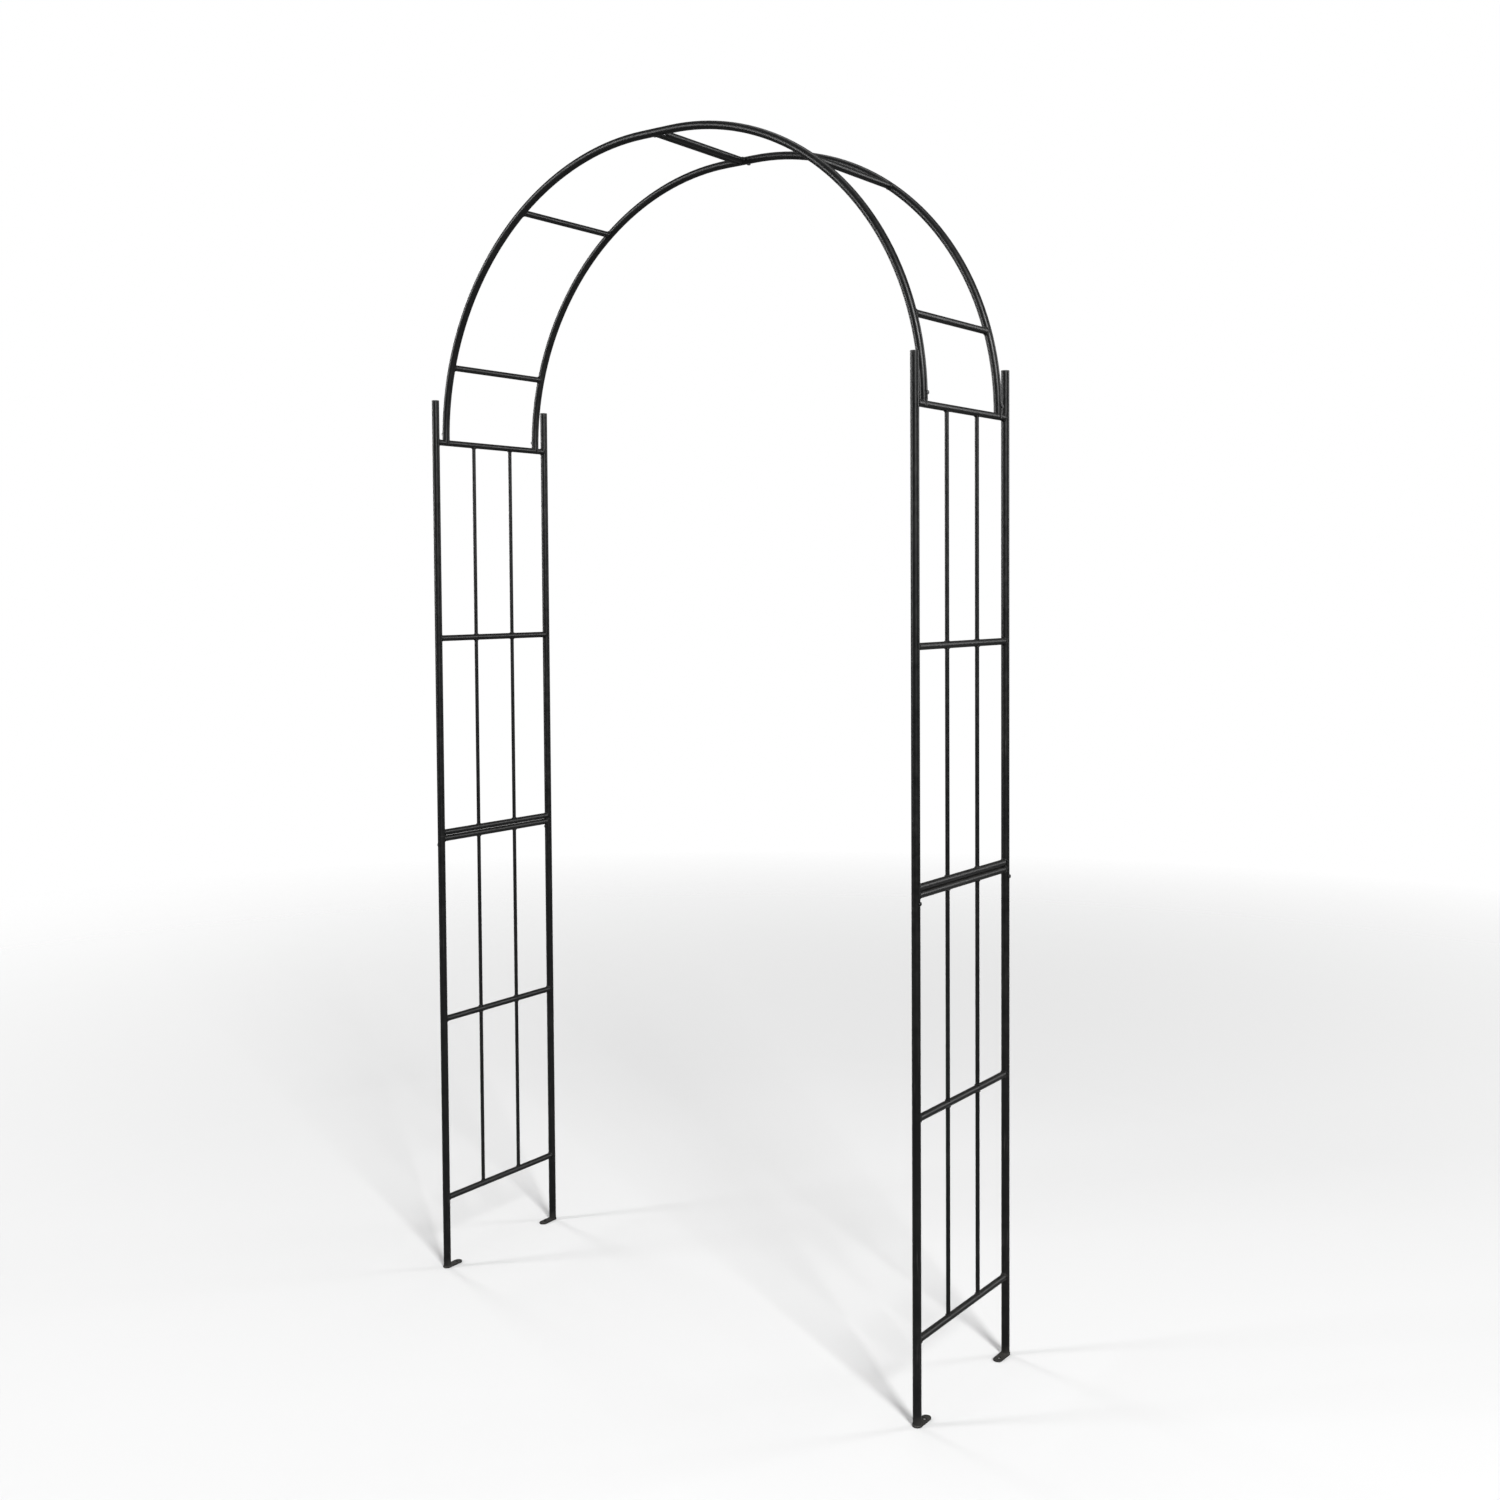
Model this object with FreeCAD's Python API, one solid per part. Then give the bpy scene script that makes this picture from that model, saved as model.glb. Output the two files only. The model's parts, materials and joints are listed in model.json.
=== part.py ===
import FreeCAD, Part
import math
import os

# Garden trellis arch in black powder-coated steel tube.
# Two ladder-shaped side panels carry two hoops that are tied together by rungs.
# Each panel is a lower and an upper welded section, joined by spigots in the posts.
# Each hoop is two quarter bends that meet at the crown on an inner sleeve.
#
# X runs across the walkway, with the left panel at -X and the right panel at +X.
# Y runs through the arch, with the front at -Y and the rear at +Y.
# Z is up. The origin is on the ground, in the middle of the four feet.

# ---- side panels ----
panel_spacing = 1200.0          # between the left and the right panel, axis to axis
panel_depth = 340.0             # between a panel's front and rear post, axis to axis
lower_section_height = 960.0    # ground to the joint in the posts
upper_section_height = 950.0    # joint to the very top of the post caps
post_diameter = 16.0
post_wall = 1.0
bar_diameter = 13.0
bar_wall = 0.8
rod_diameter = 8.0
rod_wall = 1.0
rods_per_bay = 2                # upright rods between the two posts of a panel
rod_hole_clearance = 0.15       # round a rod where it passes through the middle bar
bottom_bar_height = 155.0       # axis of the lowest bar above the ground
post_stub = 90.0                # post left standing above the axis of the top bar
bar_end_clearance = 0.25        # from the outside of an end bar to the end of its section

# ---- feet ----
foot_thickness = 3.0
foot_width = 18.0
foot_reach = 41.0               # post axis to the tip of the foot
foot_edge_round = 0.4           # on the upper edge
foot_hole_diameter = 8.0
foot_hole_offset = 26.0         # post axis to the hole's axis

# ---- hoops and rungs ----
hoop_diameter = 16.0
hoop_wall = 1.0
hoop_inset = 30.0               # hoop axis in from the post axis, towards the middle
hoop_leg = 1.5                  # straight tube above the top bar before the bend
crown_straight = 36.0           # straight tube on each side of the crown joint
hoop_end_drop = 10.0            # how far the notched hoop end straddles the top bar
hoop_notch_clearance = 0.2
crown_end_clearance = 0.25      # from the outside of a crown rung to the crown joint
rung_diameter = 13.0
rung_wall = 0.8
first_rung_rise = 162.0         # axis of the first rung above the axis of the top bar
rungs_per_half = 3

# ---- spigots and sleeves inside the tubes ----
slip_clearance = 0.2            # round the half that slides in
fixed_clearance = 0.05          # round the half that is fixed in its tube
sleeve_wall = 1.6
sleeve_chamfer = 0.8
post_spigot_fixed = 40.0        # length fixed in the upper post
post_spigot_sliding = 45.0      # length that drops into the lower post
crown_sleeve_half = 32.0        # length in each half of the hoop
hoop_spigot_clearance = 0.8     # the bend starts inside this length, so it is loose
hoop_spigot_height = 26.0       # above the top of the top bar

# ---- screws ----
screw_diameter = 4.0
screw_length = 7.0              # under the head
screw_head_diameter = 7.4
screw_head_height = 2.4
screw_head_round = 1.0
screw_recess_width = 1.0
screw_recess_length = 4.2
screw_recess_depth = 1.3
screw_pass_clearance = 0.2      # round the screw in the outer tube
screw_thread_clearance = 0.05   # round the screw in the tapped inner tube
post_screw_drop = 20.0          # below the joint in the posts
hoop_screw_rise = 13.0          # above the top of the top bar
crown_screw_offset = 20.0       # from the crown joint, in the right half

# ---- post caps ----
cap_rim_thickness = 2.0
cap_rim_round = 0.8
cap_plug_length = 12.0
cap_plug_wall = 1.6
cap_plug_clearance = 0.1

# ---- worked out from the sizes above ----
post_radius = post_diameter / 2
post_bore_radius = post_radius - post_wall
bar_radius = bar_diameter / 2
rod_radius = rod_diameter / 2
hoop_radius = hoop_diameter / 2
hoop_bore_radius = hoop_radius - hoop_wall
rung_radius = rung_diameter / 2

panel_x = panel_spacing / 2
post_y = panel_depth / 2
hoop_y = post_y - hoop_inset
joint_height = lower_section_height
post_top = lower_section_height + upper_section_height
end_bar_offset = bar_radius + bar_end_clearance

lower_bar_heights = {
    "bottom": bottom_bar_height,
    "middle": (bottom_bar_height + joint_height - end_bar_offset) / 2,
    "top": joint_height - end_bar_offset,
}
top_bar_height = post_top - post_stub
upper_bar_heights = {
    "bottom": joint_height + end_bar_offset,
    "middle": (joint_height + end_bar_offset + top_bar_height) / 2,
    "top": top_bar_height,
}

top_bar_crest = top_bar_height + bar_radius
spring_height = top_bar_crest + hoop_leg
bend_radius = panel_x - crown_straight
crown_height = spring_height + bend_radius
bend_length = math.pi / 2 * bend_radius
first_rung_travel = hoop_leg + bend_radius * math.asin(
    (top_bar_height + first_rung_rise - spring_height) / bend_radius
)
last_rung_travel = hoop_leg + bend_length + crown_straight - rung_radius - crown_end_clearance
rung_pitch = (last_rung_travel - first_rung_travel) / (rungs_per_half - 1)

sides = {"left": -1, "right": 1}
ends = {"front": -1, "rear": 1}

up = FreeCAD.Vector(0, 0, 1)
rearward = FreeCAD.Vector(0, 1, 0)


def vector(x, y, z):
    return FreeCAD.Vector(x, y, z)


def round_between(start, end, radius):
    """A solid round from one point to another."""
    return Part.makeCylinder(radius, start.distanceToPoint(end), start, end - start)


def tube_between(start, end, radius, wall):
    """A round tube from one point to another."""
    outer = round_between(start, end, radius)
    return outer.cut(round_between(start, end, radius - wall))


# ---- pieces of a side panel ----

def post_axis(side, end, height):
    return vector(sides[side] * panel_x, ends[end] * post_y, height)


def post_core(side, end):
    """The full round of a post over its whole height, used to cope what meets it."""
    return round_between(post_axis(side, end, 0), post_axis(side, end, post_top), post_radius)


def screw_hole(point, direction, radius, depth):
    """A round hole from just outside a point, inwards along a direction."""
    lead = post_diameter
    return Part.makeCylinder(radius, depth + lead, point - direction * lead, direction)


def post_screw_seat(side, end):
    """Where the head of a post screw rests, on the outer face of the lower post."""
    seat = post_axis(side, end, joint_height - post_screw_drop)
    return seat + vector(sides[side] * post_radius, 0, 0)


def inward(side):
    return vector(-sides[side], 0, 0)


def lower_post(side, end):
    tube = tube_between(
        post_axis(side, end, foot_thickness),
        post_axis(side, end, joint_height),
        post_radius,
        post_wall,
    )
    hole_radius = screw_diameter / 2 + screw_pass_clearance
    hole = screw_hole(post_screw_seat(side, end), inward(side), hole_radius, post_radius)
    return tube.cut(hole)


def upper_post(side, end):
    return tube_between(
        post_axis(side, end, joint_height),
        post_axis(side, end, post_top - cap_rim_thickness),
        post_radius,
        post_wall,
    )


def cross_bar(side, height):
    """A bar between the posts of one panel, with its ends coped to the round posts."""
    bar = tube_between(
        post_axis(side, "front", height),
        post_axis(side, "rear", height),
        bar_radius,
        bar_wall,
    )
    for end in ends:
        bar = bar.cut(post_core(side, end))
    return bar


def rod_axis(side, number, height):
    """Rods share the depth of the panel evenly, counted from the front."""
    share = number / (rods_per_bay + 1)
    return vector(sides[side] * panel_x, -post_y + share * panel_depth, height)


def drilled_bar(side, height):
    """A middle bar, with a hole for each rod that passes through it."""
    bar = cross_bar(side, height)
    hole_radius = rod_radius + rod_hole_clearance
    for number in range(1, rods_per_bay + 1):
        low = rod_axis(side, number, height - bar_diameter)
        high = rod_axis(side, number, height + bar_diameter)
        bar = bar.cut(round_between(low, high, hole_radius))
    return bar


def upright_rod(side, number, heights):
    """A thin tube from the bottom bar to the top bar of one section, coped at both."""
    rod = tube_between(
        rod_axis(side, number, heights["bottom"]),
        rod_axis(side, number, heights["top"]),
        rod_radius,
        rod_wall,
    )
    for level in ("bottom", "top"):
        core = round_between(
            post_axis(side, "front", heights[level]),
            post_axis(side, "rear", heights[level]),
            bar_radius,
        )
        rod = rod.cut(core)
    return rod


def foot_plate(side, end):
    """A flat tab under the post. It points to the panel's other foot and has one hole."""
    half_width = foot_width / 2
    heel = post_axis(side, end, 0)
    towards = vector(0, -ends[end], 0)
    tip = heel + towards * (foot_reach - half_width)
    plate = Part.makeCylinder(half_width, foot_thickness, heel, up)
    plate = plate.fuse(Part.makeCylinder(half_width, foot_thickness, tip, up))
    corner = vector(heel.x - half_width, min(heel.y, tip.y), 0)
    web = Part.makeBox(foot_width, abs(tip.y - heel.y), foot_thickness, corner)
    plate = plate.fuse(web).removeSplitter()
    outline = [edge for edge in plate.Edges if edge.BoundBox.ZMin > foot_thickness / 2]
    plate = plate.makeFillet(foot_edge_round, outline)
    hole_at = heel + towards * foot_hole_offset
    return plate.cut(Part.makeCylinder(foot_hole_diameter / 2, foot_thickness, hole_at, up))


def post_cap(side, end):
    """A plastic plug with a thin rounded rim that closes the top of a post."""
    seat = post_axis(side, end, post_top - cap_rim_thickness)
    rim = Part.makeCylinder(post_radius, cap_rim_thickness, seat, up)
    top_edge = [edge for edge in rim.Edges if edge.BoundBox.ZMin > seat.z + cap_rim_thickness / 2]
    rim = rim.makeFillet(cap_rim_round, top_edge[:1])
    plug = tube_between(
        seat - up * cap_plug_length,
        seat,
        post_bore_radius - cap_plug_clearance,
        cap_plug_wall,
    )
    return rim.fuse(plug)


# ---- spigots and sleeves ----

def stepped_sleeve(joint, direction, fixed, sliding, bore_radius):
    """A sleeve fixed in one tube, that slides into the tube beyond the joint."""
    sliding_radius = bore_radius - slip_clearance
    inner_radius = sliding_radius - sleeve_wall
    tight = round_between(joint, joint - direction * fixed, bore_radius - fixed_clearance)
    tip = joint + direction * sliding
    neck = tip - direction * sleeve_chamfer
    loose = round_between(joint, neck, sliding_radius)
    nose = Part.makeCone(
        sliding_radius, sliding_radius - sleeve_chamfer, sleeve_chamfer, neck, direction
    )
    sleeve = tight.fuse([loose, nose]).removeSplitter()
    return sleeve.cut(round_between(joint - direction * fixed, tip, inner_radius))


def tapped(piece, seat, direction):
    """Adds the threaded hole for a screw whose head rests at the seat."""
    hole_radius = screw_diameter / 2 + screw_thread_clearance
    return piece.cut(screw_hole(seat, direction, hole_radius, screw_length))


def joint_spigot(side, end):
    joint = post_axis(side, end, joint_height)
    sleeve = stepped_sleeve(
        joint, -up, post_spigot_fixed, post_spigot_sliding, post_bore_radius
    )
    return tapped(sleeve, post_screw_seat(side, end), inward(side))


def hoop_foot(side, end, height):
    return vector(sides[side] * panel_x, ends[end] * hoop_y, height)


def hoop_screw_seat(side, end):
    """Where the head of a hoop screw rests, on the outer face of the hoop's end."""
    seat = hoop_foot(side, end, top_bar_crest + hoop_screw_rise)
    return seat + vector(sides[side] * hoop_radius, 0, 0)


def hoop_spigot(side, end):
    """A tube standing on the top bar. Its lower end is coped to the bar."""
    radius = hoop_bore_radius - hoop_spigot_clearance
    foot = hoop_foot(side, end, top_bar_height)
    neck = hoop_foot(side, end, top_bar_crest + hoop_spigot_height - sleeve_chamfer)
    spigot = round_between(foot, neck, radius)
    nose = Part.makeCone(radius, radius - sleeve_chamfer, sleeve_chamfer, neck, up)
    spigot = spigot.fuse(nose)
    spigot = spigot.cut(round_between(foot, neck + up * bar_diameter, radius - sleeve_wall))
    spigot = spigot.cut(top_bar_core(side, 0))
    return tapped(spigot, hoop_screw_seat(side, end), inward(side))


def top_bar_core(side, clearance):
    return round_between(
        post_axis(side, "front", top_bar_height),
        post_axis(side, "rear", top_bar_height),
        bar_radius + clearance,
    )


def hoop_notch(side, end):
    """A slot across the hoop's end, round above the top bar and open below it."""
    half_width = bar_radius + hoop_notch_clearance
    axis = hoop_foot(side, end, top_bar_height)
    corner = axis - vector(half_width, hoop_diameter, bar_diameter)
    slot = Part.makeBox(2 * half_width, 2 * hoop_diameter, bar_diameter, corner)
    return top_bar_core(side, hoop_notch_clearance).fuse(slot)


def crown_sleeve(end):
    joint = vector(0, ends[end] * hoop_y, crown_height)
    towards_right = vector(1, 0, 0)
    sleeve = stepped_sleeve(
        joint, towards_right, crown_sleeve_half, crown_sleeve_half, hoop_bore_radius
    )
    return tapped(sleeve, crown_screw_seat(end), up)


# ---- hoops and rungs ----

def hoop_core(side, end, radius):
    """Half a hoop as a solid round: a short leg, a quarter bend and the crown straight."""
    reach = sides[side]
    foot = hoop_foot(side, end, top_bar_crest - hoop_end_drop)
    spring = hoop_foot(side, end, spring_height)
    bend_centre = vector(reach * crown_straight, ends[end] * hoop_y, spring_height)
    crown_start = bend_centre + up * bend_radius
    crown_end = vector(0, ends[end] * hoop_y, crown_height)
    disc = Part.Face(Part.Wire(Part.makeCircle(radius, spring, up)))
    bend = disc.revolve(bend_centre, rearward * -reach, 90)
    leg = round_between(foot, spring, radius)
    straight = round_between(crown_start, crown_end, radius)
    return leg.fuse([bend, straight])


def crown_screw_seat(end):
    """Where the head of a crown screw rests, under the right half of the hoop."""
    return vector(crown_screw_offset, ends[end] * hoop_y, crown_height - hoop_radius)


def half_hoop(side, end):
    tube = hoop_core(side, end, hoop_radius).cut(hoop_core(side, end, hoop_bore_radius))
    tube = tube.cut(hoop_notch(side, end))
    hole_radius = screw_diameter / 2 + screw_pass_clearance
    tube = tube.cut(
        screw_hole(hoop_screw_seat(side, end), inward(side), hole_radius, hoop_radius)
    )
    if side == "right":
        tube = tube.cut(screw_hole(crown_screw_seat(end), up, hole_radius, hoop_radius))
    return tube


def rung_centre(side, number):
    """The middle of a rung, counted up from the top bar along the axis of the hoop."""
    travel = first_rung_travel + number * rung_pitch
    bend_travel = travel - hoop_leg
    if bend_travel <= bend_length:
        angle = bend_travel / bend_radius
        x = crown_straight + bend_radius * math.cos(angle)
        z = spring_height + bend_radius * math.sin(angle)
    else:
        x = crown_straight - (bend_travel - bend_length)
        z = crown_height
    return vector(sides[side] * x, 0, z)


def rung(side, number):
    """A tube between the two hoops, with its ends coped to them."""
    middle = rung_centre(side, number)
    half_span = rearward * hoop_y
    piece = tube_between(middle - half_span, middle + half_span, rung_radius, rung_wall)
    for end in ends:
        piece = piece.cut(hoop_core(side, end, hoop_radius))
    return piece


# ---- screws ----

def screw(seat, direction):
    """A round-head screw with a cross recess. Its head rests at the seat."""
    head = Part.makeCylinder(screw_head_diameter / 2, screw_head_height)
    top_edge = [edge for edge in head.Edges if edge.BoundBox.ZMin > screw_head_height / 2]
    head = head.makeFillet(screw_head_round, top_edge[:1])
    floor = screw_head_height - screw_recess_depth
    for length_x, length_y in (
        (screw_recess_length, screw_recess_width),
        (screw_recess_width, screw_recess_length),
    ):
        corner = vector(-length_x / 2, -length_y / 2, floor)
        head = head.cut(Part.makeBox(length_x, length_y, screw_recess_depth, corner))
    shank = Part.makeCylinder(screw_diameter / 2, screw_length, vector(0, 0, 0), -up)
    piece = head.fuse(shank)
    turn = FreeCAD.Rotation(up, -direction)
    piece.Placement = FreeCAD.Placement(seat, turn)
    return piece


def screw_group(seats):
    return Part.makeCompound([screw(seat, direction) for seat, direction in seats])


# ---- the whole arch ----

def panel_pieces(side):
    pieces = {}
    for end in ends:
        corner = side + "_" + end
        pieces[corner + "_lower_post"] = lower_post(side, end)
        pieces[corner + "_upper_post"] = upper_post(side, end)
        pieces[corner + "_foot_plate"] = foot_plate(side, end)
        pieces[corner + "_post_cap"] = post_cap(side, end)
        pieces[corner + "_joint_spigot"] = joint_spigot(side, end)
        pieces[corner + "_hoop_spigot"] = hoop_spigot(side, end)
    sections = {"lower": lower_bar_heights, "upper": upper_bar_heights}
    for section, heights in sections.items():
        for level, height in heights.items():
            make_bar = drilled_bar if level == "middle" else cross_bar
            pieces[side + "_" + section + "_" + level + "_bar"] = make_bar(side, height)
        for number in range(1, rods_per_bay + 1):
            name = side + "_" + section + "_rod_" + str(number)
            pieces[name] = upright_rod(side, number, heights)
    return pieces


def hoop_pieces():
    pieces = {}
    for end in ends:
        for side in sides:
            pieces[side + "_" + end + "_hoop"] = half_hoop(side, end)
        pieces[end + "_crown_sleeve"] = crown_sleeve(end)
    for side in sides:
        for number in range(rungs_per_half):
            pieces[side + "_rung_" + str(number + 1)] = rung(side, number)
    return pieces


def screw_pieces():
    corners = [(side, end) for side in sides for end in ends]
    return {
        "post_screws": screw_group([(post_screw_seat(s, e), inward(s)) for s, e in corners]),
        "hoop_screws": screw_group([(hoop_screw_seat(s, e), inward(s)) for s, e in corners]),
        "crown_screws": screw_group([(crown_screw_seat(e), up) for e in ends]),
    }


def write_parts():
    os.makedirs("parts", exist_ok=True)
    pieces = {}
    for side in sides:
        pieces.update(panel_pieces(side))
    pieces.update(hoop_pieces())
    pieces.update(screw_pieces())
    for name, shape in pieces.items():
        shape.exportStep("parts/" + name + ".step")
        solids = len(shape.Solids)
        print(name, solids, "solid" if solids == 1 else "solids", round(shape.Volume, 1))
    print(len(pieces), "files")


write_parts()
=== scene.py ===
import json
import math
import random

import bmesh
import bpy
from mathutils import Matrix, Vector


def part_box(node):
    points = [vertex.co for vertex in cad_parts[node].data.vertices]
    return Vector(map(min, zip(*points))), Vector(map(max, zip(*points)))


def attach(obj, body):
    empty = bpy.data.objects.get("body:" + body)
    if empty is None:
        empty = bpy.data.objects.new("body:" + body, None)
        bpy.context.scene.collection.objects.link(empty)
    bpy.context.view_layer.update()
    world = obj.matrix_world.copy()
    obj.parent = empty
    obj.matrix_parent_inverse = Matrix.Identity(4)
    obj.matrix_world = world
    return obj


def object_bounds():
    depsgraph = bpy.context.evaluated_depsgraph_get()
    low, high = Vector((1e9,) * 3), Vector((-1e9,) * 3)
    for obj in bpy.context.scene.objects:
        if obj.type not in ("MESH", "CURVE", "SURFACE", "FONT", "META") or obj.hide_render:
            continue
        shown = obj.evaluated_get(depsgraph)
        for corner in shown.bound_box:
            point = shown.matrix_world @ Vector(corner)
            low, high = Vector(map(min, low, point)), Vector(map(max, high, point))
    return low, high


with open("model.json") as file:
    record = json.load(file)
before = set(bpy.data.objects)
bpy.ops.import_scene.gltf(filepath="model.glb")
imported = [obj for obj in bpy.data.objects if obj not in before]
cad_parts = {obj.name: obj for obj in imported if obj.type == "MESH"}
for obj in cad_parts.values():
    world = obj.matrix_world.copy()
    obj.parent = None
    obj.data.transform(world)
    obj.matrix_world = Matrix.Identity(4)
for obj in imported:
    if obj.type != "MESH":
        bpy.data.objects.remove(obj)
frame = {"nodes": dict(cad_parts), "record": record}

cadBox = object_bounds()
mm = 0.001
print("frame loaded,", len(frame["nodes"]), "nodes")


# stands in front of the arch, to its right, a little under eye height
cameraView = {
    "place": (2.0661, -2.6709, 1.4956),
    "turn": 36.12,             # degrees to the left of +Y
    "pitch": -2.28,            # degrees, below level when negative
    "roll": -0.37,             # degrees
    "lens": 39.5,              # millimetres, as the sensor is
    "sensorWidth": 36,
    "shiftUp": -0.0633,        # share of the view's width
}


def makeCamera():
    turn = math.radians(cameraView["turn"])
    pitch = math.radians(cameraView["pitch"])
    roll = math.radians(cameraView["roll"])
    level = Vector((math.cos(turn), math.sin(turn), 0))
    ahead = Vector((-math.sin(turn) * math.cos(pitch), math.cos(turn) * math.cos(pitch), math.sin(pitch)))
    above = level.cross(ahead)
    right = level * math.cos(roll) + above * math.sin(roll)
    top = above * math.cos(roll) - level * math.sin(roll)
    data = bpy.data.cameras.new("camera")
    data.sensor_width = cameraView["sensorWidth"]
    data.lens = cameraView["lens"]
    data.shift_y = cameraView["shiftUp"]
    camera = bpy.data.objects.new("camera", data)
    place = Matrix((right, top, -ahead)).transposed().to_4x4()
    place.translation = cameraView["place"]
    camera.matrix_world = place
    bpy.context.scene.collection.objects.link(camera)
    bpy.context.scene.camera = camera


makeCamera()
print("camera set")


# the sockets that a Mix node has for colours
mixSocket = {"share": 0, "first": 6, "second": 7, "result": 2}

# rays sent into the metal find its edges, by the share of them that runs free on a flat and at an edge
edgeRays = {"samples": 6, "flatToSharp": (0.92, 0.5)}


def startMaterial(name):
    material = bpy.data.materials.new(name)
    material.use_nodes = True
    material.node_tree.nodes.clear()
    return material


# a value in `inputs` is either another node's output or a constant
def addNode(tree, kind, inputs=None, **settings):
    node = tree.nodes.new("ShaderNode" + kind)
    for key, value in settings.items():
        setattr(node, key, value)
    for key, value in (inputs or {}).items():
        if isinstance(value, bpy.types.NodeSocket):
            tree.links.new(value, node.inputs[key])
        else:
            node.inputs[key].default_value = value
    return node


def noise(tree, vector, size, detail=3.0, roughness=0.55):
    inputs = {"Vector": vector, "Scale": 1 / size, "Detail": detail, "Roughness": roughness}
    return addNode(tree, "TexNoise", inputs).outputs["Fac"]


def cells(tree, vector, size):
    return addNode(tree, "TexVoronoi", {"Vector": vector, "Scale": 1 / size}).outputs["Distance"]


def scaled(tree, vector, scale):
    return addNode(tree, "Mapping", {"Vector": vector, "Scale": scale}).outputs["Vector"]


# fromLow becomes toLow and fromHigh becomes toHigh, with no value beyond those two
def stretch(tree, value, fromLow, fromHigh, toLow=0.0, toHigh=1.0):
    inputs = {"Value": value, "From Min": fromLow, "From Max": fromHigh, "To Min": toLow, "To Max": toHigh}
    return addNode(tree, "MapRange", inputs).outputs["Result"]


def calculate(tree, operation, first, second):
    return addNode(tree, "Math", {0: first, 1: second}, operation=operation).outputs[0]


def multiply(tree, first, second):
    return calculate(tree, "MULTIPLY", first, second)


def upPart(tree, vector):
    return addNode(tree, "SeparateXYZ", {0: vector}).outputs["Z"]


def mixColour(tree, share, first, second):
    inputs = {mixSocket["share"]: share, mixSocket["first"]: first, mixSocket["second"]: second}
    return addNode(tree, "Mix", inputs, data_type="RGBA").outputs[mixSocket["result"]]


def mixShader(tree, share, first, second):
    return addNode(tree, "MixShader", {0: share, 1: first, 2: second}).outputs[0]


def grey(level, tint=(1.0, 1.0, 1.0)):
    return (level * tint[0], level * tint[1], level * tint[2], 1.0)


# 1 at an outer edge and 0 on a flat
def edgeShare(tree, width):
    inputs = {"Distance": width}
    inside = addNode(tree, "AmbientOcclusion", inputs, samples=edgeRays["samples"], inside=True)
    return stretch(tree, inside.outputs["AO"], *edgeRays["flatToSharp"])


def bump(tree, height, distance, normal=None):
    inputs = {"Height": height, "Distance": distance}
    if normal is not None:
        inputs["Normal"] = normal
    return addNode(tree, "Bump", inputs).outputs["Normal"]


def finishMaterial(tree, colour, roughness, normal, metallic=0.0, specular=0.5):
    inputs = {"Base Color": colour, "Roughness": roughness, "Normal": normal}
    shader = addNode(tree, "BsdfPrincipled", inputs)
    shader.inputs["Metallic"].default_value = metallic
    shader.inputs["Specular IOR Level"].default_value = specular
    addNode(tree, "OutputMaterial", {"Surface": shader.outputs[0]})


# Semi-gloss black powder coat over steel tube.
# A Span is the stretch of a noise over which something comes up, and a Matting is added to the roughness.
powderCoat = {
    "fresh": grey(0.0034, (0.92, 1.0, 1.03)),
    "tired": grey(0.0110, (1.0, 1.0, 0.98)),
    "rubbed": grey(0.10, (1.0, 0.98, 0.94)),
    "dusty": grey(0.14, (1.0, 0.95, 0.84)),
    "roughness": (0.30, 0.42),
    "specular": 0.25,
    "mottle": {"size": 14 * mm, "detail": 5.0, "roughness": 0.6},
    "mottleSpan": (0.3, 0.7),
    "clouds": {"size": 240 * mm, "detail": 4.0},
    "cloudSpan": (0.35, 0.68),
    "peel": {"size": 3.2 * mm, "detail": 1.5, "roughness": 0.4},    # orange peel of the melted powder
    "peelHeight": 0.055 * mm,
    "grain": {"size": 0.6 * mm, "detail": 1.0},
    "grainHeight": 0.010 * mm,
    "rubLines": {"size": 1.1 * mm, "detail": 2.0},
    "rubScale": (1.0, 1.0, 0.02),                                   # drawn out along the posts
    "rubLineSpan": (0.60, 0.70),
    "rubPatches": {"size": 90 * mm, "detail": 2.0},
    "rubPatchSpan": (0.52, 0.64),
    "rubShare": 0.35,
    "rubMatting": 0.25,
    "wearWidth": 0.7 * mm,                                          # less than the wall of the tubes
    "wearSpan": (0.42, 0.62),
    "wearShare": 0.8,
    "dustSpecks": {"size": 2.2 * mm, "detail": 2.0},
    "dustSpeckSpan": (0.3, 0.6),
    "dustFacing": (0.45, 1.0),                                      # upward part of the surface's normal
    "dustCorners": {"reach": 7 * mm, "samples": 5, "openToClosed": (0.55, 0.15), "share": 0.35},
    "dustSpan": (0.3, 0.75),
    "dustShare": 0.14,
    "dustMatting": 2.5,
    "soilHeights": (22 * mm, 3 * mm),                               # where it starts and where it is full
    "soilSpan": (0.2, 0.6),
    "soilLeast": 0.4,
    "soilShare": 0.12,
    "soilMatting": 0.4,
}


# slow and quick changes of tone along the tubes
def coatTone(tree, place, mottle):
    clouds = noise(tree, place, **powderCoat["clouds"])
    slow = stretch(tree, clouds, *powderCoat["cloudSpan"])
    return multiply(tree, slow, stretch(tree, mottle, *powderCoat["mottleSpan"]))


# thin marks that run up the posts, in patches
def rubMarks(tree, place):
    lines = noise(tree, scaled(tree, place, powderCoat["rubScale"]), **powderCoat["rubLines"])
    patches = noise(tree, place, **powderCoat["rubPatches"])
    lineShare = stretch(tree, lines, *powderCoat["rubLineSpan"])
    patchShare = stretch(tree, patches, *powderCoat["rubPatchSpan"])
    return multiply(tree, multiply(tree, lineShare, patchShare), powderCoat["rubShare"])


# edges where the coat has rubbed thin
def edgeWear(tree, mottle):
    broken = stretch(tree, mottle, *powderCoat["wearSpan"])
    edges = edgeShare(tree, powderCoat["wearWidth"])
    return multiply(tree, multiply(tree, edges, broken), powderCoat["wearShare"])


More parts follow.
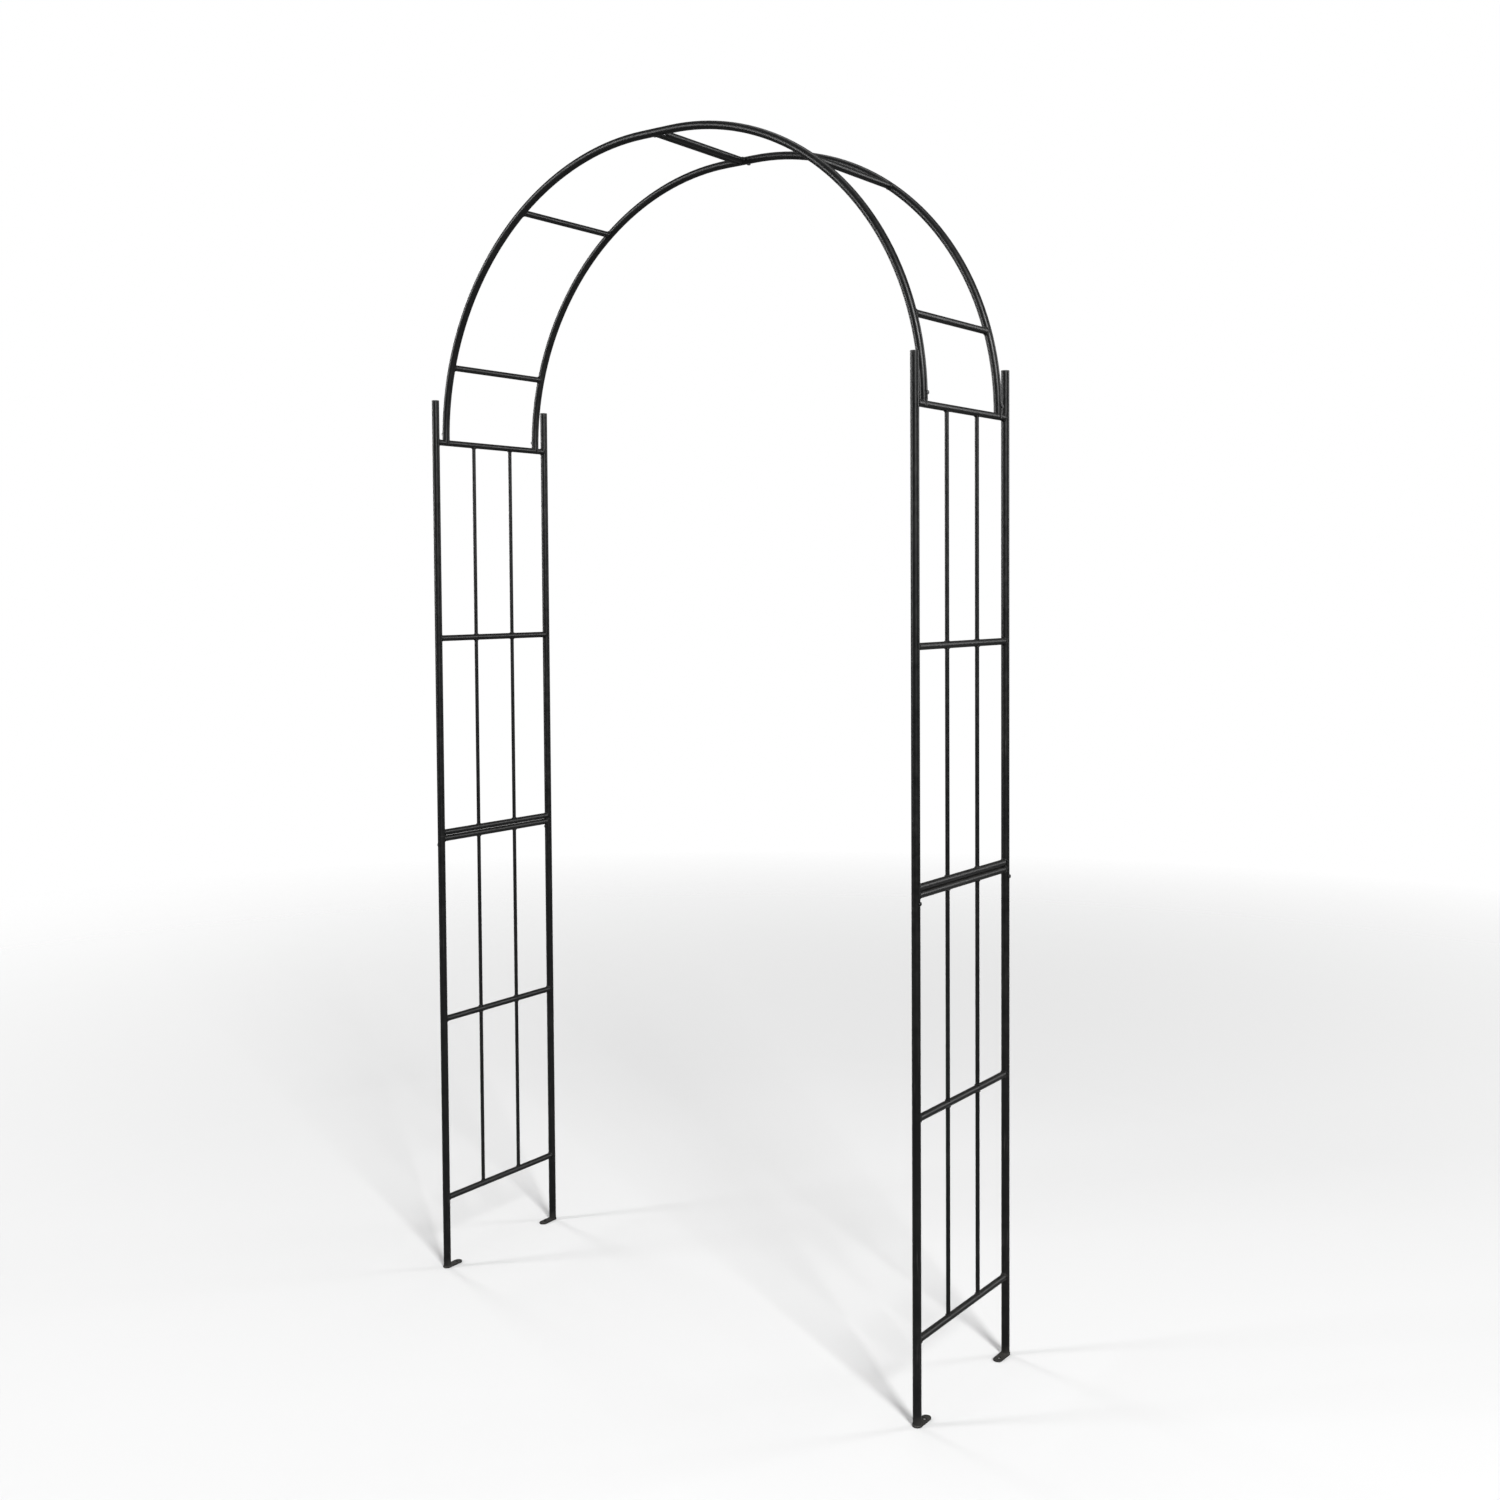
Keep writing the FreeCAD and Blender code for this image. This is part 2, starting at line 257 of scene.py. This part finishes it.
# a little dust on what faces up, and in the corners
def dustCover(tree, place, mottle):
    specks = noise(tree, place, **powderCoat["dustSpecks"])
    facing = upPart(tree, addNode(tree, "NewGeometry").outputs["Normal"])
    flatShare = stretch(tree, facing, *powderCoat["dustFacing"])
    settled = multiply(tree, flatShare, stretch(tree, specks, *powderCoat["dustSpeckSpan"]))
    corners = powderCoat["dustCorners"]
    inputs = {"Distance": corners["reach"]}
    openness = addNode(tree, "AmbientOcclusion", inputs, samples=corners["samples"]).outputs["AO"]
    gathered = stretch(tree, openness, *corners["openToClosed"], 0.0, corners["share"])
    either = calculate(tree, "MAXIMUM", settled, gathered)
    dust = multiply(tree, either, stretch(tree, mottle, *powderCoat["dustSpan"]))
    return multiply(tree, dust, powderCoat["dustShare"])


# soil splashed on the feet and the bottom of the posts
def soilFilm(tree, place, mottle):
    ground = stretch(tree, upPart(tree, place), *powderCoat["soilHeights"])
    patches = stretch(tree, mottle, *powderCoat["soilSpan"], powderCoat["soilLeast"], 1.0)
    return multiply(tree, ground, patches)


def makePowderCoat():
    material = startMaterial("blackPowderCoat")
    tree = material.node_tree
    place = addNode(tree, "TexCoord").outputs["Object"]
    mottle = noise(tree, place, **powderCoat["mottle"])
    tone = coatTone(tree, place, mottle)
    rubs = rubMarks(tree, place)
    wear = edgeWear(tree, mottle)
    dust = dustCover(tree, place, mottle)
    soil = soilFilm(tree, place, mottle)

    colour = mixColour(tree, tone, powderCoat["fresh"], powderCoat["tired"])
    colour = mixColour(tree, rubs, colour, powderCoat["rubbed"])
    colour = mixColour(tree, wear, colour, powderCoat["rubbed"])
    colour = mixColour(tree, dust, colour, powderCoat["dusty"])
    colour = mixColour(tree, multiply(tree, soil, powderCoat["soilShare"]), colour, powderCoat["dusty"])

    roughness = stretch(tree, mottle, *powderCoat["mottleSpan"], *powderCoat["roughness"])
    for cover, matting in ((dust, "dustMatting"), (rubs, "rubMatting"), (soil, "soilMatting")):
        roughness = calculate(tree, "ADD", roughness, multiply(tree, cover, powderCoat[matting]))

    normal = bump(tree, noise(tree, place, **powderCoat["peel"]), powderCoat["peelHeight"])
    normal = bump(tree, noise(tree, place, **powderCoat["grain"]), powderCoat["grainHeight"], normal)
    finishMaterial(tree, colour, roughness, normal, specular=powderCoat["specular"])
    return material


# matte black moulded plastic of the post caps
capPlastic = {
    "dark": grey(0.013),
    "pale": grey(0.026, (1.0, 1.0, 1.03)),
    "scuffed": grey(0.08),
    "roughness": (0.52, 0.68),
    "specular": 0.3,
    "flow": {"size": 9 * mm, "detail": 3.0},
    "flowSpan": (0.35, 0.65),
    "roughnessSpan": (0.3, 0.7),
    "scuffWidth": 0.7 * mm,
    "scuffSpan": (0.45, 0.6),
    "scuffShare": 0.5,
    "grainSize": 0.5 * mm,
    "grainHeight": 0.008 * mm,
}


def makeCapPlastic():
    material = startMaterial("mattePlastic")
    tree = material.node_tree
    place = addNode(tree, "TexCoord").outputs["Object"]
    flow = noise(tree, place, **capPlastic["flow"])
    tone = stretch(tree, flow, *capPlastic["flowSpan"])
    colour = mixColour(tree, tone, capPlastic["dark"], capPlastic["pale"])
    edges = edgeShare(tree, capPlastic["scuffWidth"])
    scuffs = multiply(tree, edges, stretch(tree, flow, *capPlastic["scuffSpan"]))
    scuffs = multiply(tree, scuffs, capPlastic["scuffShare"])
    colour = mixColour(tree, scuffs, colour, capPlastic["scuffed"])
    roughness = stretch(tree, flow, *capPlastic["roughnessSpan"], *capPlastic["roughness"])
    normal = bump(tree, cells(tree, place, capPlastic["grainSize"]), capPlastic["grainHeight"])
    finishMaterial(tree, colour, roughness, normal, specular=capPlastic["specular"])
    return material


# zinc-plated steel of the spigots and sleeves
platedSteel = {
    "light": grey(0.58, (0.97, 1.0, 1.03)),
    "dark": grey(0.36, (1.0, 0.98, 0.92)),
    "roughness": (0.26, 0.42),
    "spangleSize": 4 * mm,
    "spangleSpan": (0.0, 0.7),
    "drawLines": {"size": 0.6 * mm, "detail": 3.0},
    "drawScale": (1.0, 1.0, 0.04),     # drawn out along an upright tube
    "drawSpan": (0.3, 0.7),
    "drawHeight": 0.01 * mm,
}


def makePlatedSteel():
    material = startMaterial("platedSteel")
    tree = material.node_tree
    place = addNode(tree, "TexCoord").outputs["Object"]
    spangle = stretch(tree, cells(tree, place, platedSteel["spangleSize"]), *platedSteel["spangleSpan"])
    draw = noise(tree, scaled(tree, place, platedSteel["drawScale"]), **platedSteel["drawLines"])
    tone = multiply(tree, spangle, stretch(tree, draw, *platedSteel["drawSpan"]))
    colour = mixColour(tree, tone, platedSteel["light"], platedSteel["dark"])
    roughness = stretch(tree, draw, *platedSteel["drawSpan"], *platedSteel["roughness"])
    finishMaterial(tree, colour, roughness, bump(tree, draw, platedSteel["drawHeight"]), metallic=1.0)
    return material


# blackened steel of the screws, bright along the edges that a driver or a tube touches
screwSteel = {
    "black": grey(0.045, (1.0, 1.0, 1.05)),
    "bright": grey(0.42),
    "roughness": (0.30, 0.5),
    "oxide": {"size": 1.3 * mm, "detail": 3.0},
    "oxideSpan": (0.3, 0.7),
    "oxideHeight": 0.012 * mm,
    "brightWidth": 0.35 * mm,
    "brightSpan": (0.4, 0.6),
}


def makeScrewSteel():
    material = startMaterial("screwSteel")
    tree = material.node_tree
    place = addNode(tree, "TexCoord").outputs["Object"]
    oxide = noise(tree, place, **screwSteel["oxide"])
    edges = edgeShare(tree, screwSteel["brightWidth"])
    touched = multiply(tree, edges, stretch(tree, oxide, *screwSteel["brightSpan"]))
    colour = mixColour(tree, touched, screwSteel["black"], screwSteel["bright"])
    roughness = stretch(tree, oxide, *screwSteel["oxideSpan"], *screwSteel["roughness"])
    finishMaterial(tree, colour, roughness, bump(tree, oxide, screwSteel["oxideHeight"]), metallic=1.0)
    return material


slotMaterials = {
    "black_powder_coat": makePowderCoat(),
    "cap_plastic": makeCapPlastic(),
    "plated_steel": makePlatedSteel(),
    "screw_steel": makeScrewSteel(),
}
print("materials made")

# the record says which slot each node has
for subpart in frame["record"]["subparts"]:
    for materialSlot in frame["nodes"][subpart["node"]].material_slots:
        materialSlot.material = slotMaterials[subpart["material_slot"]]
print("finishes given to the frame's nodes")


# weld beads: a rippled ring round each tube where it meets another
weldBead = {
    "radius": 1.25 * mm,
    "radiusSpan": (0.92, 1.1),     # from bead to bead
    "sides": 10,
    "standOff": 0.35,              # of the bead's middle from the corner, as a share of the radius
    "rippleLength": 2.3 * mm,
    "fewestRipples": 8,
    "stepsPerRipple": 5,
    "rippleDepth": 0.16,           # share of the radius
    "rippleMiddle": 0.6,           # height in a ripple at which the bead has its own radius
    "uneven": 0.10,                # share of the radius
    "footShare": 0.6,              # a smaller bead, which the foot plate has room for
    "jointGap": 0.12 * mm,         # a bead stays this far from a joint that comes apart
}
dice = random.Random(7)

axisX, axisZ = 0, 2
upward = Vector((0, 0, 1))
rearward = Vector((0, 1, 0))
inwardFrom = {"front": rearward, "rear": -rearward}
outwardSign = {"left": -1, "right": 1}

barLevels = ("bottom", "middle", "top")
# the bars that meet at the joint of two sections, and whether each lies below or above it
jointBars = {("lower", "top"): -1, ("upper", "bottom"): 1}
# a rod stands on the bottom bar, hangs from the top one and passes through the middle one
rodSides = {"bottom": (1,), "middle": (1, -1), "top": (-1,)}
rodNumbers = (1, 2)
rungNumbers = (1, 2, 3)            # counted up from the top bar
crownRung = 3
sameHeight = 0.1 * mm              # heights closer than this count as one


def centreOf(name):
    low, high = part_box(name)
    return (low + high) / 2


def halfSize(name):
    low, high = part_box(name)
    return (high - low) / 2


# a round ring about local Z
def plainRing(ringRadius, beadRadius, steps):
    ring = bmesh.new()
    upright = Matrix.Translation((ringRadius, 0, 0)) @ Matrix.Rotation(math.pi / 2, 4, "X")
    section = bmesh.ops.create_circle(ring, segments=weldBead["sides"], radius=beadRadius, matrix=upright)
    bmesh.ops.spin(
        ring, geom=section["verts"] + ring.edges[:], cent=(0, 0, 0), axis=(0, 0, 1),
        angle=2 * math.pi, steps=steps, use_merge=True,
    )
    return ring


# the bead of a tube along local Z that ends on a main tube along local Y, or on a flat if mainRadius is 0
def weldRing(tubeRadius, mainRadius, place, share=1.0):
    beadRadius = weldBead["radius"] * share * dice.uniform(*weldBead["radiusSpan"])
    standOff = beadRadius * weldBead["standOff"]
    ringRadius = tubeRadius + standOff
    ripples = max(weldBead["fewestRipples"], round(2 * math.pi * tubeRadius / weldBead["rippleLength"]))
    swell = [dice.uniform(-weldBead["uneven"], weldBead["uneven"]) for _ in range(ripples)]
    phase = dice.uniform(0, 2 * math.pi)

    ring = plainRing(ringRadius, beadRadius, ripples * weldBead["stepsPerRipple"])
    for vert in ring.verts:
        angle = math.atan2(vert.co.y, vert.co.x)
        count = (angle + phase) / (2 * math.pi) * ripples
        wave = abs(math.sin(math.pi * count))
        ripple = weldBead["rippleDepth"] * (wave - weldBead["rippleMiddle"])
        bulge = 1 + ripple + swell[int(count) % ripples] * wave
        core = Vector((ringRadius * math.cos(angle), ringRadius * math.sin(angle), 0))
        vert.co = core + (vert.co - core) * bulge
        lift = standOff
        if mainRadius:
            across = min(tubeRadius * abs(math.cos(angle)), mainRadius)
            lift = math.sqrt(mainRadius ** 2 - across ** 2) + standOff
        vert.co.z += lift
    bmesh.ops.recalc_face_normals(ring, faces=ring.faces)
    bmesh.ops.transform(ring, matrix=place, verts=ring.verts)
    return ring


# local Z points out of the main tube, and local Y along it
def placeOf(point, out, along):
    side = along.cross(out)
    place = Matrix((side, along, out)).transposed().to_4x4()
    place.translation = point
    return place


# flattens a bead that would reach past a joint: sign is the bead's side of it
def keepClear(ring, axis, joint, sign):
    limit = joint + sign * weldBead["jointGap"]
    for vert in ring.verts:
        if (vert.co[axis] - limit) * sign < 0:
            vert.co[axis] = limit


def makePiece(name, rings, slot):
    whole = bmesh.new()
    for ring in rings:
        part = bpy.data.meshes.new("part")
        ring.to_mesh(part)
        ring.free()
        whole.from_mesh(part)
        bpy.data.meshes.remove(part)
    mesh = bpy.data.meshes.new(name)
    whole.to_mesh(mesh)
    whole.free()
    mesh.shade_smooth()
    mesh.materials.append(slotMaterials[slot])
    piece = bpy.data.objects.new(name, mesh)
    bpy.context.scene.collection.objects.link(piece)
    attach(piece, "root")


def barWelds(side, section, jointHeight):
    rings = []
    for level in barLevels:
        bar = f"{side}_{section}_{level}_bar"
        for end, inward in inwardFrom.items():
            post = f"{side}_{end}_{section}_post"
            point = centreOf(post)
            point.z = centreOf(bar).z
            ring = weldRing(halfSize(bar).z, halfSize(post).y, placeOf(point, inward, upward))
            if (section, level) in jointBars:
                keepClear(ring, axisZ, jointHeight, jointBars[section, level])
            rings.append(ring)
    return rings


def rodWelds(side, section):
    rings = []
    for number in rodNumbers:
        rod = f"{side}_{section}_rod_{number}"
        for level in barLevels:
            bar = f"{side}_{section}_{level}_bar"
            point = centreOf(rod)
            point.z = centreOf(bar).z
            for sign in rodSides[level]:
                place = placeOf(point, upward * sign, rearward)
                rings.append(weldRing(halfSize(rod).y, halfSize(bar).z, place))
    return rings


def footWelds(side):
    rings = []
    for end in inwardFrom:
        post = f"{side}_{end}_lower_post"
        point = centreOf(post)
        point.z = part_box(f"{side}_{end}_foot_plate")[1].z
        place = placeOf(point, upward, rearward)
        rings.append(weldRing(halfSize(post).y, 0, place, weldBead["footShare"]))
    return rings


# the direction of a hoop's tube at a rung: one point on a quarter bend gives the radius of the bend
def tubeDirection(side, rung):
    hoop = f"{side}_front_hoop"
    tubeRadius = halfSize(hoop).y
    low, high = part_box(hoop)
    reach = max(abs(low.x), abs(high.x)) - tubeRadius
    across = reach - abs(rung.x)
    below = high.z - tubeRadius - rung.z
    if below < sameHeight:             # on the straight at the crown
        return Vector((1, 0, 0))
    bendRadius = across + below + math.sqrt(2 * across * below)
    fromCentre = Vector((abs(rung.x) - reach + bendRadius, 0, bendRadius - below))
    fromCentre.x *= outwardSign[side]
    return fromCentre.normalized().cross(rearward)


def rungWelds(side):
    rings = []
    for number in rungNumbers:
        rung = f"{side}_rung_{number}"
        along = tubeDirection(side, centreOf(rung))
        for end, inward in inwardFrom.items():
            point = centreOf(rung)
            hoop = f"{side}_{end}_hoop"
            point.y = centreOf(hoop).y
            ring = weldRing(halfSize(rung).z, halfSize(hoop).y, placeOf(point, inward, along))
            if number == crownRung:
                keepClear(ring, axisX, 0, outwardSign[side])
            rings.append(ring)
    return rings


for side in outwardSign:
    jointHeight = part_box(f"{side}_front_lower_post")[1].z
    lowerRings = barWelds(side, "lower", jointHeight) + rodWelds(side, "lower") + footWelds(side)
    makePiece(f"{side}_lower_section_welds", lowerRings, "black_powder_coat")
    upperRings = barWelds(side, "upper", jointHeight) + rodWelds(side, "upper")
    makePiece(f"{side}_upper_section_welds", upperRings, "black_powder_coat")
    makePiece(f"{side}_hoop_welds", rungWelds(side), "black_powder_coat")
print("welds made")


# a pale floor that thins out into the white round it
floorLook = {
    "seen": grey(0.72),
    "cast": grey(0.25),        # what the floor throws back on the tubes
    "radius": 14.0,
    "fade": (1.8, 6.0),        # metres from the middle, from where it starts to where the floor is gone
    "segments": 96,
    "below": 0.3 * mm,         # under the feet
}


def cameraRay(tree):
    return addNode(tree, "LightPath").outputs["Is Camera Ray"]


def makeFloor():
    material = startMaterial("paleFloor")
    tree = material.node_tree
    place = addNode(tree, "TexCoord").outputs["Object"]
    reach = addNode(tree, "VectorMath", {0: place}, operation="LENGTH").outputs["Value"]
    seen = addNode(tree, "BsdfDiffuse", {"Color": floorLook["seen"]}).outputs[0]
    cast = addNode(tree, "BsdfDiffuse", {"Color": floorLook["cast"]}).outputs[0]
    clear = addNode(tree, "BsdfTransparent").outputs[0]
    paint = mixShader(tree, cameraRay(tree), cast, seen)
    blend = mixShader(tree, stretch(tree, reach, *floorLook["fade"]), paint, clear)
    addNode(tree, "OutputMaterial", {"Surface": blend})

    disc = bmesh.new()
    level = Matrix.Translation((0, 0, cadBox[0][2] - floorLook["below"]))
    bmesh.ops.create_circle(
        disc, cap_ends=True, segments=floorLook["segments"], radius=floorLook["radius"], matrix=level,
    )
    mesh = bpy.data.meshes.new("floor")
    disc.to_mesh(mesh)
    disc.free()
    mesh.materials.append(material)
    floor = bpy.data.objects.new("floor", mesh)
    bpy.context.scene.collection.objects.link(floor)


# soft boxes: place and size in metres, power in watts
softBoxes = {
    "rightFront": {"place": (7.7, -5.0, 5.9), "size": (2.0, 3.7), "power": 1350},
    "leftFront": {"place": (-5.4, -5.6, 3.2), "size": (1.3, 3.6), "power": 330},
    "rightRear": {"place": (5.2, 6.0, 3.4), "size": (1.6, 3.6), "power": 190},
    "leftRear": {"place": (-7.6, 1.8, 3.4), "size": (1.6, 3.6), "power": 190},
    "overhead": {"place": (0.2, 0.4, 5.4), "size": (3.0, 0.9), "power": 30},
}
softBoxTarget = (0, 0, 1.7)        # in the upper half of the arch
# one wide even light from above, its spread in degrees
ceiling = {"place": (0.4, -0.3, 6.0), "target": (0, 0, 0), "spread": 80, "power": 0.30}
# strength of the white all round, as the camera sees it and as it lights the tubes
surround = {"seen": 1.0, "cast": 0.15}


def makeLight(name, kind, place, target, power):
    data = bpy.data.lights.new(name, kind)
    data.energy = power
    light = bpy.data.objects.new(name, data)
    light.location = place
    light.rotation_euler = (Vector(target) - light.location).to_track_quat("-Z", "Y").to_euler()
    bpy.context.scene.collection.objects.link(light)
    return data


def makeLights():
    for name, box in softBoxes.items():
        data = makeLight(name, "AREA", box["place"], softBoxTarget, box["power"])
        data.shape = "RECTANGLE"
        data.size, data.size_y = box["size"]
    data = makeLight("ceiling", "SUN", ceiling["place"], ceiling["target"], ceiling["power"])
    data.angle = math.radians(ceiling["spread"])


def makeSurround():
    world = bpy.data.worlds.new("studio")
    world.use_nodes = True
    tree = world.node_tree
    tree.nodes.clear()
    seen = addNode(tree, "Background", {"Color": grey(1.0), "Strength": surround["seen"]}).outputs[0]
    cast = addNode(tree, "Background", {"Color": grey(1.0), "Strength": surround["cast"]}).outputs[0]
    addNode(tree, "OutputWorld", {"Surface": mixShader(tree, cameraRay(tree), cast, seen)})
    bpy.context.scene.world = world
    bpy.context.scene.view_settings.view_transform = "Standard"


makeFloor()
makeLights()
makeSurround()
print("floor and lights set")
